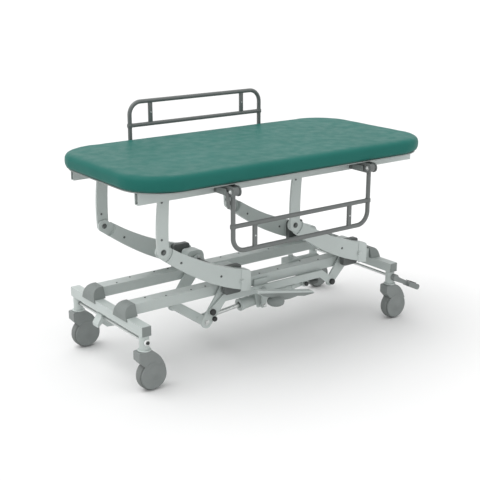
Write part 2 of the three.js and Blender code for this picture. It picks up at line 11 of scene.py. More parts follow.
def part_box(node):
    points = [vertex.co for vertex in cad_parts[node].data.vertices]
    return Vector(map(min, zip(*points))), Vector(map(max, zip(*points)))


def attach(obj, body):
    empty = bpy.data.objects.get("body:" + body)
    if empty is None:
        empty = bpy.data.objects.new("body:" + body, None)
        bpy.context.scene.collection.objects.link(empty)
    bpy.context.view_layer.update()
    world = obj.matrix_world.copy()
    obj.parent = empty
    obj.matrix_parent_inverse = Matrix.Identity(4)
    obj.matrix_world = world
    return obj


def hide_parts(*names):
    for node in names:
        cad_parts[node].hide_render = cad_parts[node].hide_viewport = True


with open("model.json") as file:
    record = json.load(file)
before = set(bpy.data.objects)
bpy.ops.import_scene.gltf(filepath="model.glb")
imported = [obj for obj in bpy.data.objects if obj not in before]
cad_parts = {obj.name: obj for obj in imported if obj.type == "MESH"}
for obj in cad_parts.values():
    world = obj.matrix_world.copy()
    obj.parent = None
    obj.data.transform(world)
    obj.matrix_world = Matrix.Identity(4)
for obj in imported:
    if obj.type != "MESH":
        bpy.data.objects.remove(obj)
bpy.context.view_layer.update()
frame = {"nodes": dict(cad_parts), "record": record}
NODES = frame["nodes"]
SIDES = {"near": -1, "far": 1}
PAIRS = ("left", "right")
MM = 0.001


# ---------------------------------------------------------------- materials
def node_tree(name):
    mat = bpy.data.materials.new(name)
    mat.use_nodes = True
    nodes, links = mat.node_tree.nodes, mat.node_tree.links
    shader = next(n for n in nodes if n.type == "BSDF_PRINCIPLED")
    coords = nodes.new("ShaderNodeTexCoord")
    return mat, nodes, links, shader, coords.outputs["Object"]


def noise_node(nodes, links, coords, scale, detail=4.0, stretch=(1, 1, 1)):
    mapping = nodes.new("ShaderNodeMapping")
    mapping.inputs["Scale"].default_value = stretch
    texture = nodes.new("ShaderNodeTexNoise")
    texture.inputs["Scale"].default_value = scale
    texture.inputs["Detail"].default_value = detail
    links.new(coords, mapping.inputs["Vector"])
    links.new(mapping.outputs["Vector"], texture.inputs["Vector"])
    return texture.outputs["Fac"]


def ramp_node(nodes, links, fac, low, high, start=0.3, end=0.7):
    ramp = nodes.new("ShaderNodeValToRGB")
    ramp.color_ramp.elements[0].position = start
    ramp.color_ramp.elements[1].position = end
    ramp.color_ramp.elements[0].color = (*low, 1)
    ramp.color_ramp.elements[1].color = (*high, 1)
    links.new(fac, ramp.inputs["Fac"])
    return ramp.outputs["Color"]


def range_node(nodes, links, fac, low, high):
    ranged = nodes.new("ShaderNodeMapRange")
    ranged.inputs["From Min"].default_value = 0.3
    ranged.inputs["From Max"].default_value = 0.7
    ranged.inputs["To Min"].default_value = low
    ranged.inputs["To Max"].default_value = high
    links.new(fac, ranged.inputs["Value"])
    return ranged.outputs["Result"]


def bump_node(nodes, links, height, strength, distance, normal=None):
    bump = nodes.new("ShaderNodeBump")
    bump.inputs["Strength"].default_value = strength
    bump.inputs["Distance"].default_value = distance
    links.new(height, bump.inputs["Height"])
    if normal is not None:
        links.new(normal, bump.inputs["Normal"])
    return bump.outputs["Normal"]


def coated(name, color, rough, grain, depth,
           metallic=0.0, spread=0.05, stretch=(1, 1, 1), coat=0.0):
    """A surface with slow colour drift, handling scuffs in its gloss and a fine grain."""
    mat, nodes, links, shader, coords = node_tree(name)
    drift = noise_node(nodes, links, coords, 5.0, 6.0)
    low = [c * (1 - spread) for c in color]
    high = [min(1.0, c * (1 + spread)) for c in color]
    links.new(ramp_node(nodes, links, drift, low, high), shader.inputs["Base Color"])
    scuff = noise_node(nodes, links, coords, 34.0, 8.0, stretch)
    gloss = range_node(nodes, links, scuff, rough - 0.07, rough + 0.09)
    links.new(gloss, shader.inputs["Roughness"])
    shader.inputs["Metallic"].default_value = metallic
    shader.inputs["Coat Weight"].default_value = coat
    shader.inputs["Coat Roughness"].default_value = 0.25
    fine = noise_node(nodes, links, coords, grain, 3.0, stretch)
    links.new(bump_node(nodes, links, fine, 0.35, depth), shader.inputs["Normal"])
    return mat


def vinyl_cover():
    """Wipe-clean coated fabric: a fine pebbled grain over slow puckers, with a dull gloss."""
    mat, nodes, links, shader, coords = node_tree("vinyl_cover")
    drift = noise_node(nodes, links, coords, 4.0, 5.0)
    color = ramp_node(nodes, links, drift, (0.014, 0.118, 0.098), (0.018, 0.13, 0.109))
    links.new(color, shader.inputs["Base Color"])
    shader.inputs["Specular IOR Level"].default_value = 0.07
    wear = noise_node(nodes, links, coords, 22.0, 6.0)
    links.new(range_node(nodes, links, wear, 0.36, 0.5), shader.inputs["Roughness"])
    puckers = noise_node(nodes, links, coords, 9.0, 3.0)
    slow = bump_node(nodes, links, puckers, 0.12, 3 * MM)
    pebble = nodes.new("ShaderNodeTexVoronoi")
    pebble.inputs["Scale"].default_value = 620.0
    links.new(coords, pebble.inputs["Vector"])
    grain = bump_node(nodes, links, pebble.outputs["Distance"], 0.22, 0.4 * MM, slow)
    links.new(grain, shader.inputs["Normal"])
    return mat


MATS = {
    "vinyl": vinyl_cover(),
    "seam": coated("seam_welt", (0.012, 0.08, 0.068), 0.5, 900, 0.3 * MM),
    "frame": coated("powder_coat_pale", (0.43, 0.475, 0.46), 0.42, 700, 0.12 * MM,
                    spread=0.03, coat=0.15),
    "casting": coated("cast_pale", (0.43, 0.475, 0.46), 0.45, 520, 0.18 * MM,
                      spread=0.03, coat=0.12),
    "board": coated("laminate_edge", (0.27, 0.3, 0.29), 0.5, 800, 0.1 * MM, spread=0.04),
    "cap": coated("end_cap_pale", (0.46, 0.505, 0.49), 0.5, 600, 0.15 * MM, spread=0.03),
    "rail": coated("powder_coat_grey", (0.12, 0.13, 0.127), 0.45, 700, 0.1 * MM,
                   metallic=0.1, coat=0.2),
    "moulded": coated("moulded_grey", (0.19, 0.213, 0.205), 0.6, 900, 0.3 * MM, spread=0.06),
    "caster": coated("caster_grey", (0.19, 0.208, 0.203), 0.5, 850, 0.22 * MM),
    "tyre": coated("tyre_grey", (0.16, 0.173, 0.168), 0.78, 420, 0.5 * MM, spread=0.09),
    "dark": coated("dark_coat", (0.1, 0.11, 0.107), 0.5, 600, 0.15 * MM,
                   metallic=0.1, spread=0.12),
    "knob": coated("black_plastic", (0.018, 0.02, 0.02), 0.48, 800, 0.2 * MM, spread=0.15),
    "screw": coated("blackened_screw", (0.1, 0.109, 0.106), 0.42, 500, 0.1 * MM,
                    metallic=0.4, spread=0.1),
    "steel": coated("turned_steel", (0.6, 0.62, 0.61), 0.3, 380, 0.06 * MM,
                    metallic=0.92, spread=0.04, stretch=(1, 14, 1)),
    "bush": coated("white_bush", (0.75, 0.77, 0.76), 0.45, 700, 0.1 * MM, spread=0.03),
    "slot": coated("shadow_recess", (0.012, 0.013, 0.013), 0.8, 500, 0.1 * MM, spread=0.2),
}


def paint(obj, mat_name):
    obj.data.materials.clear()
    obj.data.materials.append(MATS[mat_name])


# ---------------------------------------------------------------- mesh helpers
def piece(name, bm, mat_name, body, smooth=40.0):
    """Turns a bmesh into a finished piece that rides on a body."""
    bmesh.ops.recalc_face_normals(bm, faces=bm.faces)
    mesh = bpy.data.meshes.new(name)
    bm.to_mesh(mesh)
    bm.free()
    obj = bpy.data.objects.new(name, mesh)
    bpy.context.scene.collection.objects.link(obj)
    paint(obj, mat_name)
    mesh.shade_smooth()
    mesh.set_sharp_from_angle(angle=math.radians(smooth))
    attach(obj, body)
    return obj


def axis_matrix(axis):
    """Turns local Z to the named axis."""
    turns = {
        "X": Matrix.Rotation(math.pi / 2, 4, "Y"),
        "Y": Matrix.Rotation(-math.pi / 2, 4, "X"),
    }
    return turns.get(axis, Matrix.Identity(4))


def add_lathe(bm, profile, centre, axis="Z", sides=32):
    """Spins (radius, height) points round an axis; a radius of 0 closes the end."""
    turn = Matrix.Translation(Vector(centre)) @ axis_matrix(axis)
    rings = []
    for radius, height in profile:
        if radius < 1e-7:
            rings.append([bm.verts.new(turn @ Vector((0, 0, height)))])
            continue
        ring = []
        for i in range(sides):
            a = 2 * math.pi * i / sides
            point = Vector((radius * math.cos(a), radius * math.sin(a), height))
            ring.append(bm.verts.new(turn @ point))
        rings.append(ring)
    for low, high in zip(rings, rings[1:]):
        for i in range(sides):
            j = (i + 1) % sides
            if len(low) == 1:
                bm.faces.new((low[0], high[i], high[j]))
            elif len(high) == 1:
                bm.faces.new((low[i], low[j], high[0]))
            else:
                bm.faces.new((low[i], low[j], high[j], high[i]))


def bevel_edges(bm, edges, width, segments):
    bmesh.ops.bevel(bm, geom=edges, offset=width, segments=segments, profile=0.5, affect="EDGES")


def add_box(bm, low, high, bevel=0.0, segments=2):
    """A box between two corners, with rounded edges if a bevel is given."""
    centre = [(a + b) / 2 for a, b in zip(low, high)]
    size = [b - a for a, b in zip(low, high)]
    matrix = Matrix.Translation(centre) @ Matrix.Diagonal((*size, 1))
    made = bmesh.ops.create_cube(bm, size=1.0, matrix=matrix)
    if bevel:
        bevel_edges(bm, list({e for v in made["verts"] for e in v.link_edges}), bevel, segments)


def add_prism(bm, outline, y0, y1, bevel=0.0, segments=2):
    """Extrudes an outline in X and Z along Y."""
    verts = [bm.verts.new((x, y0, z)) for x, z in outline]
    face = bm.faces.new(verts)
    made = bmesh.ops.extrude_face_region(bm, geom=[face])
    moved = [g for g in made["geom"] if isinstance(g, bmesh.types.BMVert)]
    bmesh.ops.translate(bm, verts=moved, vec=(0, y1 - y0, 0))
    if bevel:
        new_face = next(g for g in made["geom"] if isinstance(g, bmesh.types.BMFace))
        bevel_edges(bm, list(new_face.edges) + list(face.edges), bevel, segments)


def add_tube(bm, points, radius, sides=16, closed_ends=True):
    """A round tube swept along a list of points."""
    points = [Vector(p) for p in points]
    tangents = []
    for i, point in enumerate(points):
        ahead = points[min(i + 1, len(points) - 1)]
        behind = points[max(i - 1, 0)]
        tangents.append((ahead - behind).normalized())
    normal = tangents[0].orthogonal().normalized()
    rings = []
    for point, tangent in zip(points, tangents):
        normal = (normal - tangent * normal.dot(tangent)).normalized()
        side = tangent.cross(normal)
        ring = []
        for k in range(sides):
            a = 2 * math.pi * k / sides
            ring.append(bm.verts.new(point + (normal * math.cos(a) + side * math.sin(a)) * radius))
        rings.append(ring)
    for low, high in zip(rings, rings[1:]):
        for k in range(sides):
            j = (k + 1) % sides
            bm.faces.new((low[k], low[j], high[j], high[k]))
    if closed_ends:
        bm.faces.new(rings[0])
        bm.faces.new(rings[-1])


def arc_points(centre, radius, start, end, count):
    """Points (x, z) round part of a circle, in degrees."""
    points = []
    for i in range(count + 1):
        a = math.radians(start + (end - start) * i / count)
        points.append((centre[0] + radius * math.cos(a), centre[1] + radius * math.sin(a)))
    return points


def scaled(points):
    """Pairs of lengths in millimetres, turned to metres."""
    return [(a * MM, b * MM) for a, b in points]


def side_faces(low, high, sign):
    """The Y of a box's outer and inner faces on one side of the trolley."""
    return (high[1], low[1]) if sign > 0 else (low[1], high[1])


def middle(node):
    low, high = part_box(node)
    return [(a + b) / 2 for a, b in zip(low, high)]


def socket_screw(bm, centre, axis, direction, radius, height):
    """A button-head screw with a hexagon socket, its head standing out along the axis."""
    s = direction * height
    profile = [(radius, 0), (radius, s * 0.35), (radius * 0.86, s * 0.8), (radius * 0.6, s),
               (radius * 0.42, s), (radius * 0.38, s * 0.45), (0, s * 0.45)]
    add_lathe(bm, profile, centre, axis, 18)


def bolt_head(bm, centre, axis, direction, radius, height):
    """A washer under a hexagon head."""
    s = direction * height
    washer = [(radius * 1.35, 0), (radius * 1.35, s * 0.22), (radius, s * 0.24)]
    add_lathe(bm, washer, centre, axis, 24)
    head = [(radius, s * 0.22), (radius, s * 0.85), (radius * 0.86, s), (0, s)]
    add_lathe(bm, head, centre, axis, 6)


# ---------------------------------------------------------------- CAD nodes that stay
SLOT_OF = {entry["node"]: entry["material_slot"] for entry in frame["record"]["subparts"]}
BEVEL_MM = {"frame": 1.2, "casting": 3.5, "moulded": 2.0, "caster": 2.2, "dark": 2.0, "rail": 1.0}
PLAIN_BEVEL_MM = 0.6


PAINT_OF = {
    "rocker_pedal": "frame",
    "ram_buffer": "dark",
    "corner_brake_pedal": "caster",
}


def finish_cad_nodes(skip):
    """Gives every CAD node that stays its material and softened edges."""
    for name, obj in NODES.items():
        if name in skip:
            continue
        slot = SLOT_OF[name]
        paint(obj, PAINT_OF.get(name, slot))
        bevel = obj.modifiers.new("edges", "BEVEL")
        bevel.width = BEVEL_MM.get(slot, PLAIN_BEVEL_MM) * MM
        bevel.segments = 2
        bevel.limit_method = "ANGLE"
        bevel.angle_limit = math.radians(38)
        bevel.harden_normals = False
        bevel.use_clamp_overlap = True


# ---------------------------------------------------------------- mattress
def simulate_pad(obj, cap):
    """Inflates the cover a little with the Cloth solver, then keeps each point near its start."""
    start = [v.co.copy() for v in obj.data.vertices]
    cloth = obj.modifiers.new("cloth", "CLOTH")
    cloth.settings.use_pressure = True
    cloth.settings.uniform_pressure_force = 4.0
    cloth.settings.quality = 4
    cloth.settings.effector_weights.gravity = 0.0
    cloth.collision_settings.use_collision = False
    scene = bpy.context.scene
    for step in range(1, 21):
        scene.frame_set(step)
    grabbed = obj.evaluated_get(bpy.context.evaluated_depsgraph_get())
    moved = [v.co.copy() for v in grabbed.data.vertices]
    obj.modifiers.remove(cloth)
    scene.frame_set(1)
    for vertex, old, new in zip(obj.data.vertices, start, moved):
        step = new - old
        if step.length > cap:
            step *= cap / step.length
        vertex.co = old + step


def make_mattress():
    """The padded cover: remeshed, inflated by the Cloth solver, then smoothed."""
    low, high = (Vector(c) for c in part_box("mattress"))
    inset = Vector((-5.0, -2.5, -0.5)) * MM
    source = NODES["mattress"].data.copy()
    pad = bpy.data.objects.new("mattress_cover", source)
    bpy.context.scene.collection.objects.link(pad)
    centre = (low + high) / 2
    size = high - low
    squeeze = [(s - 2 * gap) / s for s, gap in zip(size, inset)]
    for vertex in pad.data.vertices:
        vertex.co = Vector(c + (p - c) * k for p, c, k in zip(vertex.co, centre, squeeze))
    remesh = pad.modifiers.new("remesh", "REMESH")
    remesh.mode = "VOXEL"
    remesh.voxel_size = 9 * MM
    bpy.context.view_layer.objects.active = pad
    pad.select_set(True)
    bpy.ops.object.modifier_apply(modifier="remesh")
    simulate_pad(pad, 7 * MM)
    for vertex in pad.data.vertices:
        x, y, z = vertex.co
        broad = noise.noise(Vector((x * 7, y * 9, z * 5)))
        wave = broad + 0.4 * noise.noise(Vector((x * 19, y * 23, 3)))
        vertex.co.z += wave * 0.3 * MM
        vertex.co.z = min(max(vertex.co.z, low.z + 0.2 * MM), high.z + 3 * MM)
        vertex.co.x = min(max(vertex.co.x, low.x - 5 * MM), high.x + 5 * MM)
        vertex.co.y = min(max(vertex.co.y, low.y - 1.5 * MM), high.y + 1.5 * MM)
    smooth = pad.modifiers.new("smooth", "SMOOTH")
    smooth.iterations = 2
    bpy.ops.object.modifier_apply(modifier="smooth")
    refine = pad.modifiers.new("refine", "SUBSURF")
    refine.levels = 1
    refine.render_levels = 1
    bpy.ops.object.modifier_apply(modifier="refine")
    pad.select_set(False)
    pad.data.shade_smooth()
    paint(pad, "vinyl")
    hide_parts("mattress")
    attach(pad, "top_frame")
    return pad


def rounded_outline(half_x, half_y, corner, steps=24):
    """Points (x, y) round a rounded rectangle, counter-clockwise."""
    points = []
    for cx, cy, start in ((1, 1, 0), (-1, 1, 90), (-1, -1, 180), (1, -1, 270)):
        centre = (cx * (half_x - corner), cy * (half_y - corner))
        points += arc_points(centre, corner, start, start + 90, steps)
    return points


def make_seams(pad):
    """The sewn seam round the lower edge of the cover, laid on the pad's own surface."""
    low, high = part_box("mattress")
    z = low[2] + 7 * MM
    outside = rounded_outline(high[0] + 0.03, high[1] + 0.03, 0.22)
    inside = rounded_outline(high[0] - 0.05, high[1] - 0.05, 0.14)
    ring = []
    for (x0, y0), (x1, y1) in zip(outside, inside):
        start = Vector((x0, y0, z))
        found, place, _, _ = pad.ray_cast(start, Vector((x1, y1, z)) - start)
        if found:
            ring.append(place)
    bm = bmesh.new()
    add_tube(bm, ring + [ring[0]], 1.2 * MM, 8, False)
    bmesh.ops.remove_doubles(bm, verts=bm.verts, dist=0.05 * MM)
    piece("mattress_seam", bm, "seam", "top_frame")


# ---------------------------------------------------------------- side rails
HINGE_Y = 0.3805
HINGE_Z = 0.764


def rail_tube_points(x, y, z0, reach, bend, direction):
    """Centre line of the hooped tube from one hinge eye to the other."""
    top = z0 + direction * reach
    points = [(-x, y, z0), (-x, y, z0 + direction * (reach - bend) * 0.5)]
    for px, pz in arc_points((-x + bend, 0), bend, 180, 90, 12):
        points.append((px, y, top - direction * (bend - pz)))
    for px, pz in arc_points((x - bend, 0), bend, 90, 0, 12):
        points.append((px, y, top - direction * (bend - pz)))
    points += [(x, y, z0 + direction * (reach - bend) * 0.5), (x, y, z0)]
    return points


def make_side_rail(side_name):
    """A hooped tube with hinge eyes, a middle bar and two flat stays."""
    body = f"{side_name}_side_rail"
    joint = next(j for j in frame["record"]["behaviour"]["joints"] if j["child"] == body)
    hinge_y, hinge_z = joint["pos_m"][1], joint["pos_m"][2]
    direction = 1 if side_name == "far" else -1
    x, reach, mid, bend, radius = 0.3528, 0.243, 0.142, 0.055, 9.5 * MM
    stay_x, stay_half = x - 0.105, 5.5 * MM
    y = hinge_y + 0.011
    bm = bmesh.new()
    add_tube(bm, rail_tube_points(x, y, hinge_z, reach, bend, direction), radius, 20)
    bar_z = hinge_z + direction * mid
    add_tube(bm, [(-x, y, bar_z), (0, y, bar_z), (x, y, bar_z)], 9.2 * MM, 20)
    eye = [(7, -12), (17, -12), (17.4, -11), (17.4, 11), (17, 12), (7, 12)]
    sleeve = [(11.5, -8), (12.4, -6), (12.4, 6), (11.5, 8)]
    z0, z1 = sorted((bar_z, hinge_z + direction * reach))
    for end in (-1, 1):
        centre = end * stay_x
        low = (centre - 10 * MM, y - stay_half, z0)
        high = (centre + 10 * MM, y + stay_half, z1)
        add_box(bm, low, high, 2.5 * MM)
        add_lathe(bm, scaled(eye), (end * x, hinge_y, hinge_z), "X", 32)
        add_lathe(bm, scaled(sleeve), (end * x, y, bar_z), "Z", 24)
    rail = piece(f"hooped_rail_{side_name}", bm, "rail", body)
    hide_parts(f"side_rail_{side_name}")
    dots = bmesh.new()
    z = hinge_z + direction * (reach + mid) / 2
    for end in (-1, 1):
        for face in (-1, 1):
            place = (end * stay_x, y + face * stay_half, z)
            socket_screw(dots, place, "Y", face, 3.4 * MM, 1.6 * MM)
    piece(f"rail_dots_{side_name}", dots, "steel", body)


def make_bracket_fittings():
    """Hinge pins, side cheeks and the top cover of the side-rail brackets."""
    pins, cheeks, covers = bmesh.new(), bmesh.new(), bmesh.new()
    for side_name, sign in SIDES.items():
        for pair in PAIRS:
            low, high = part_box(f"rail_bracket_{side_name}_{pair}")
            centre = (low[0] + high[0]) / 2
            y0, y1 = sorted((sign * 0.2735, sign * 0.3))
            lid = ((centre - 13 * MM, y0, 0.7795), (centre + 13 * MM, y1, 0.7855))
            add_box(covers, *lid, 1.2 * MM)
            y0, y1 = sorted((sign * 0.293, sign * 0.358))
            for x, face in ((low[0], -1), (high[0], 1)):
                pin = (x + face * -4.2 * MM, sign * HINGE_Y, HINGE_Z)
                bolt_head(pins, pin, "X", face, 6.5 * MM, 6.5 * MM)
                x0, x1 = sorted((x + face * 0.1 * MM, x + face * 1.4 * MM))
                add_box(cheeks, (x0, y0, 0.7475), (x1, y1, 0.772), 0.6 * MM)
    piece("bracket_pins", pins, "steel", "top_frame")
    piece("bracket_cheeks", cheeks, "moulded", "top_frame")
    piece("bracket_covers", covers, "cap", "top_frame")


# ---------------------------------------------------------------- arms, posts and their fixings
PIVOT_UP = (-0.588, 0.531)
PIVOT_LOW = (-0.210, 0.337)
PAIR_SPACING = 0.652
LUG_FACE = 0.2212
HUB_FACE = 0.1814
COLLAR_Y = 0.0945
SHIFT = {"left": 0, "right": PAIR_SPACING}


def arm_cap_outline(px, pz):
    """The blunt end of an arm, round its lower pivot."""
    outline = [(px - 8 * MM, pz - 41 * MM), (px + 43.6 * MM, pz - 48 * MM)]
    outline.append((px + 43.6 * MM, pz + 26 * MM))
    outline += arc_points((px + 27 * MM, pz + 28 * MM), 17 * MM, 0, 80, 6)[1:]
    return outline + [(px - 4 * MM, pz + 54 * MM)]


def make_arm_fittings():
    """Screws, pivot bolts and the pale moulded cap over the thick end of each arm."""
    for pair, shift in SHIFT.items():
        screws, caps, pivots = bmesh.new(), bmesh.new(), bmesh.new()
        ux, uz = PIVOT_UP[0] + shift, PIVOT_UP[1]
        px, pz = PIVOT_LOW[0] + shift, PIVOT_LOW[1]
        for side_name, sign in SIDES.items():
            outer, inner = side_faces(*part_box(f"lift_arm_{side_name}_{pair}"), sign)
            for dx, dz in ((83, -59), (273, -152)):
                for y, face in ((outer, sign), (inner, -sign)):
                    place = (ux + dx * MM, y, uz + dz * MM)
                    socket_screw(screws, place, "Y", face, 5 * MM, 2.6 * MM)
            bolt_head(screws, (ux, sign * LUG_FACE, uz), "Y", -sign, 8 * MM, 6 * MM)
            y0, y1 = sorted((outer + sign * 0.2 * MM, outer + sign * 1.6 * MM))
            add_prism(caps, arm_cap_outline(px, pz), y0, y1, 1.1 * MM, 3)
            bolt_head(pivots, (px, outer + sign * 1.6 * MM, pz), "Y", sign, 10 * MM, 4.5 * MM)
        body = f"{pair}_arms"
        piece(f"arm_screws_{pair}", screws, "screw", body)
        piece(f"arm_caps_{pair}", caps, "cap", body, 30)
        piece(f"arm_pivot_caps_{pair}", pivots, "cap", body)


def make_post_fittings():
    """Screws through each drop post and the bolt of its upper arm pivot."""
    bolts = bmesh.new()
    screw_z = 0.582
    for side_name, sign in SIDES.items():
        for pair, shift in SHIFT.items():
            outer, inner = side_faces(*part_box(f"drop_post_{side_name}_{pair}"), sign)
            x = PIVOT_UP[0] + shift
            for dx, z in ((-3, 0.728), (-7, screw_z)):
                socket_screw(bolts, (x + dx * MM, outer, z), "Y", sign, 4.6 * MM, 2.4 * MM)
            socket_screw(bolts, (x - 7 * MM, inner, screw_z), "Y", -sign, 4.6 * MM, 2.4 * MM)
            bolt_head(bolts, (x, outer, PIVOT_UP[1]), "Y", sign, 8.5 * MM, 6.5 * MM)
    piece("post_bolts", bolts, "screw", "top_frame")


def make_torsion_fittings():
    """Collars on the torsion tubes and low bolts on their hub blocks."""
    ring = scaled([(18.2, 0), (26, 0), (26, 7), (18.2, 7), (18.2, 0)])
    for pair, shift in SHIFT.items():
        collars, bolts = bmesh.new(), bmesh.new()
        px, pz = PIVOT_LOW[0] + shift, PIVOT_LOW[1]
        for sign in SIDES.values():
            add_lathe(collars, ring, (px, sign * COLLAR_Y - 3.5 * MM, pz), "Y", 32)
            for dx, dz in ((-52, 50), (8, 52), (-52, -46), (6, -47)):
                place = (px + dx * MM, sign * HUB_FACE, pz + dz * MM)
                socket_screw(bolts, place, "Y", -sign, 5 * MM, 1.1 * MM)
        piece(f"torsion_collars_{pair}", collars, "dark", f"{pair}_arms")
        piece(f"hub_bolts_{pair}", bolts, "screw", f"{pair}_arms")


# ---------------------------------------------------------------- linkage, ram and pedals
TIE_PIN = (-0.321, 0.211)
TIE_FACE = -0.1802
RAM_BASE = (0.199, -0.130, 0.221)
RAM_HEAD = (-0.302, -0.130, 0.175)
PEDAL_DOME = (-0.075, -0.288, 0)
PEDAL_SHAFT = (-0.060, -0.1922, 0.186)


def make_linkage_fittings():
    """Black pin caps on the tie bar and ram, and bright bolts through the cranks."""
    knobs = bmesh.new()
    knob = scaled([(0, 0), (13, 0), (13.5, -3), (13.5, -9), (11, -12), (0, -12.5)])
    for x in (TIE_PIN[0], TIE_PIN[0] + PAIR_SPACING):
        add_lathe(knobs, knob, (x, TIE_FACE, TIE_PIN[1]), "Y", 28)
    piece("tie_knobs", knobs, "knob", "tie")
    ram = bmesh.new()
    for y, side in ((-0.1545, -1), (-0.1055, 1)):
        cap = [(0, 0), (9, 0), (9, side * 2.5), (6, side * 4.5), (0, side * 4.5)]
        add_lathe(ram, scaled(cap), (RAM_HEAD[0], y, RAM_HEAD[2]), "Y", 20)
    piece("ram_pin_caps", ram, "knob", "ram_piston")
    crank_cap = bmesh.new()
    cap = scaled([(0, 0), (10.5, 0), (11, -2), (11, -7.5), (9, -10), (0, -10.4)])
    add_lathe(crank_cap, cap, (-0.306, -0.1712, 0.175), "Y", 26)
    piece("crank_pin_cap", crank_cap, "knob", "left_arms")
    bolts = bmesh.new()
    for y in (-0.171, 0.084):
        bolt_head(bolts, (-0.343, y, 0.167), "Y", -1, 9 * MM, 6 * MM)
        bolt_head(bolts, (PIVOT_LOW[0], y, 0.362), "Y", -1, 5 * MM, 4 * MM)
    piece("crank_bolts", bolts, "steel", "left_arms")


def ram_point(along, radial=0.0, up=0.0):
    """A point at a distance from the ram's base pin towards its head pin."""
    base = Vector(RAM_BASE)
    head = Vector(RAM_HEAD)
    direction = (head - base).normalized()
    lift = Vector((-direction.z, 0, direction.x))
    if lift.z < 0:
        lift = -lift
    return base + direction * along + Vector((0, radial, 0)) + lift * up


def make_ram_fittings():
    """Bands and ports on the ram's tube, and the cap on its base pin."""
    bands = bmesh.new()
    ring_along(bands, 0.333, 0.3495, 14 * MM, 27 * MM)
    ring_along(bands, 0.062, 0.078, 24 * MM, 27 * MM)
    piece("ram_gland", bands, "frame", "ram_barrel")
    ports = bmesh.new()
    for along, top, radius in ((0.1, 0.0345, 6 * MM), (0.3, 0.033, 5 * MM)):
        add_tube(ports, [ram_point(along, 0, 0.024), ram_point(along, 0, top)], radius, 6)
    piece("ram_ports", ports, "steel", "ram_barrel")
    pin = bmesh.new()
    stub = [(0, 0), (5.5, 0), (5.5, -3), (9.5, -3.4), (10, -5), (10, -10), (8, -12), (0, -12.4)]
    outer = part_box("ram_bracket")[0][1]
    add_lathe(pin, scaled(stub), (RAM_BASE[0], outer, RAM_BASE[2]), "Y", 26)
    piece("ram_base_pin_cap", pin, "knob", "base")


def ring_along(bm, start, end, inner, outer, sides=36):
    """A plain ring round the ram's axis."""
    axis = (ram_point(1.0) - ram_point(0.0)).normalized()
    side = Vector((0, 1, 0))
    up = axis.cross(side)
    rings = []
    for along, radius in ((start, inner), (start, outer), (end, outer), (end, inner)):
        ring = []
        for i in range(sides):
            a = 2 * math.pi * i / sides
            spoke = (side * math.cos(a) + up * math.sin(a)) * radius
            ring.append(bm.verts.new(ram_point(along) + spoke))
        rings.append(ring)
    rings.append(rings[0])
    for low, high in zip(rings, rings[1:]):
        for i in range(sides):
            j = (i + 1) % sides
            bm.faces.new((low[i], low[j], high[j], high[i]))


def make_pedal_fittings():
    """A moulded skin over the pump pedal's dome, a darker sheet of painted shade over the lower
    part of its near face, and the bolt of its shaft.
    """
    dome = [(0, 220.3), (25.4, 220.3), (34.7, 226.6), (37.2, 237.1), (31.6, 248.6)]
    dome += [(18.2, 255.7), (0, 257.7)]
    skin = bmesh.new()
    add_lathe(skin, scaled(dome), PEDAL_DOME, "Z", 48)
    piece("pedal_dome_skin", skin, "moulded", "pump_pedal", 60)
    # A 1 mm sheet in the darker moulded grey over the lower part of the tread's near face: painted
    # shade below the plate's lit top band.
    under = [(-0.1655, 0.2895), (0.1255, 0.2335), (0.1325, 0.2295), (0.076, 0.2285), (0.04, 0.2365),
             (0, 0.2325), (-0.036, 0.2345), (-0.098, 0.2585), (-0.144, 0.2735)]
    edge = bmesh.new()
    add_prism(edge, under, -0.2932, -0.2922)
    piece("pedal_painted_underside_shade", edge, "moulded", "pump_pedal")
    bolt = bmesh.new()
    bolt_head(bolt, PEDAL_SHAFT, "Y", -1, 7 * MM, 5 * MM)
    piece("pump_shaft_bolt", bolt, "steel", "pump_pedal")


BRAKE_Z = 0.206


def make_brake_fittings():
    """Bushes and caps at the ends of the brake rods, and near-black strips of painted shade for the
    grooves of the corner pedal.
    """
    for pair in PAIRS:
        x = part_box(f"brake_rod_{pair}")[0][0] + 6 * MM
        bushes, cores = bmesh.new(), bmesh.new()
        for sign in SIDES.values():
            if pair == "right" and sign < 0:
                continue
            ring = [(8, 0), (11.5, 0), (12.5, sign * 2), (12.5, sign * 5),
                    (10, sign * 7.5), (8, sign * 7.5), (8, 0)]
            add_lathe(bushes, scaled(ring), (x, sign * 0.2895, BRAKE_Z), "Y", 28)
            core = [(0, 0), (6.9, 0), (6.9, sign * 1), (5.5, sign * 1.6), (0, sign * 1.6)]
            add_lathe(cores, scaled(core), (x, sign * 0.3, BRAKE_Z), "Y", 20)
        piece(f"rod_bushes_{pair}", bushes, "bush", "base")
        piece(f"rod_end_caps_{pair}", cores, "knob", f"{pair}_brake")
    # Near-black strips in the shadow_recess material: painted shade standing in for the grooves
    # across the corner pedal.
    groove_shade = bmesh.new()
    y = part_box("corner_brake_pedal")[0][1]
    for i in range(4):
        x = 0.697 + i * 11 * MM
        z = 0.173 - i * 4.6 * MM
        low = (x - 1.5 * MM, y + 3 * MM, z - 0.8 * MM)
        high = (x + 1.5 * MM, y + 36 * MM, z + 1.4 * MM)
        add_box(groove_shade, low, high, 0.5 * MM)
    piece("corner_pedal_groove_shade", groove_shade, "slot", "right_brake")


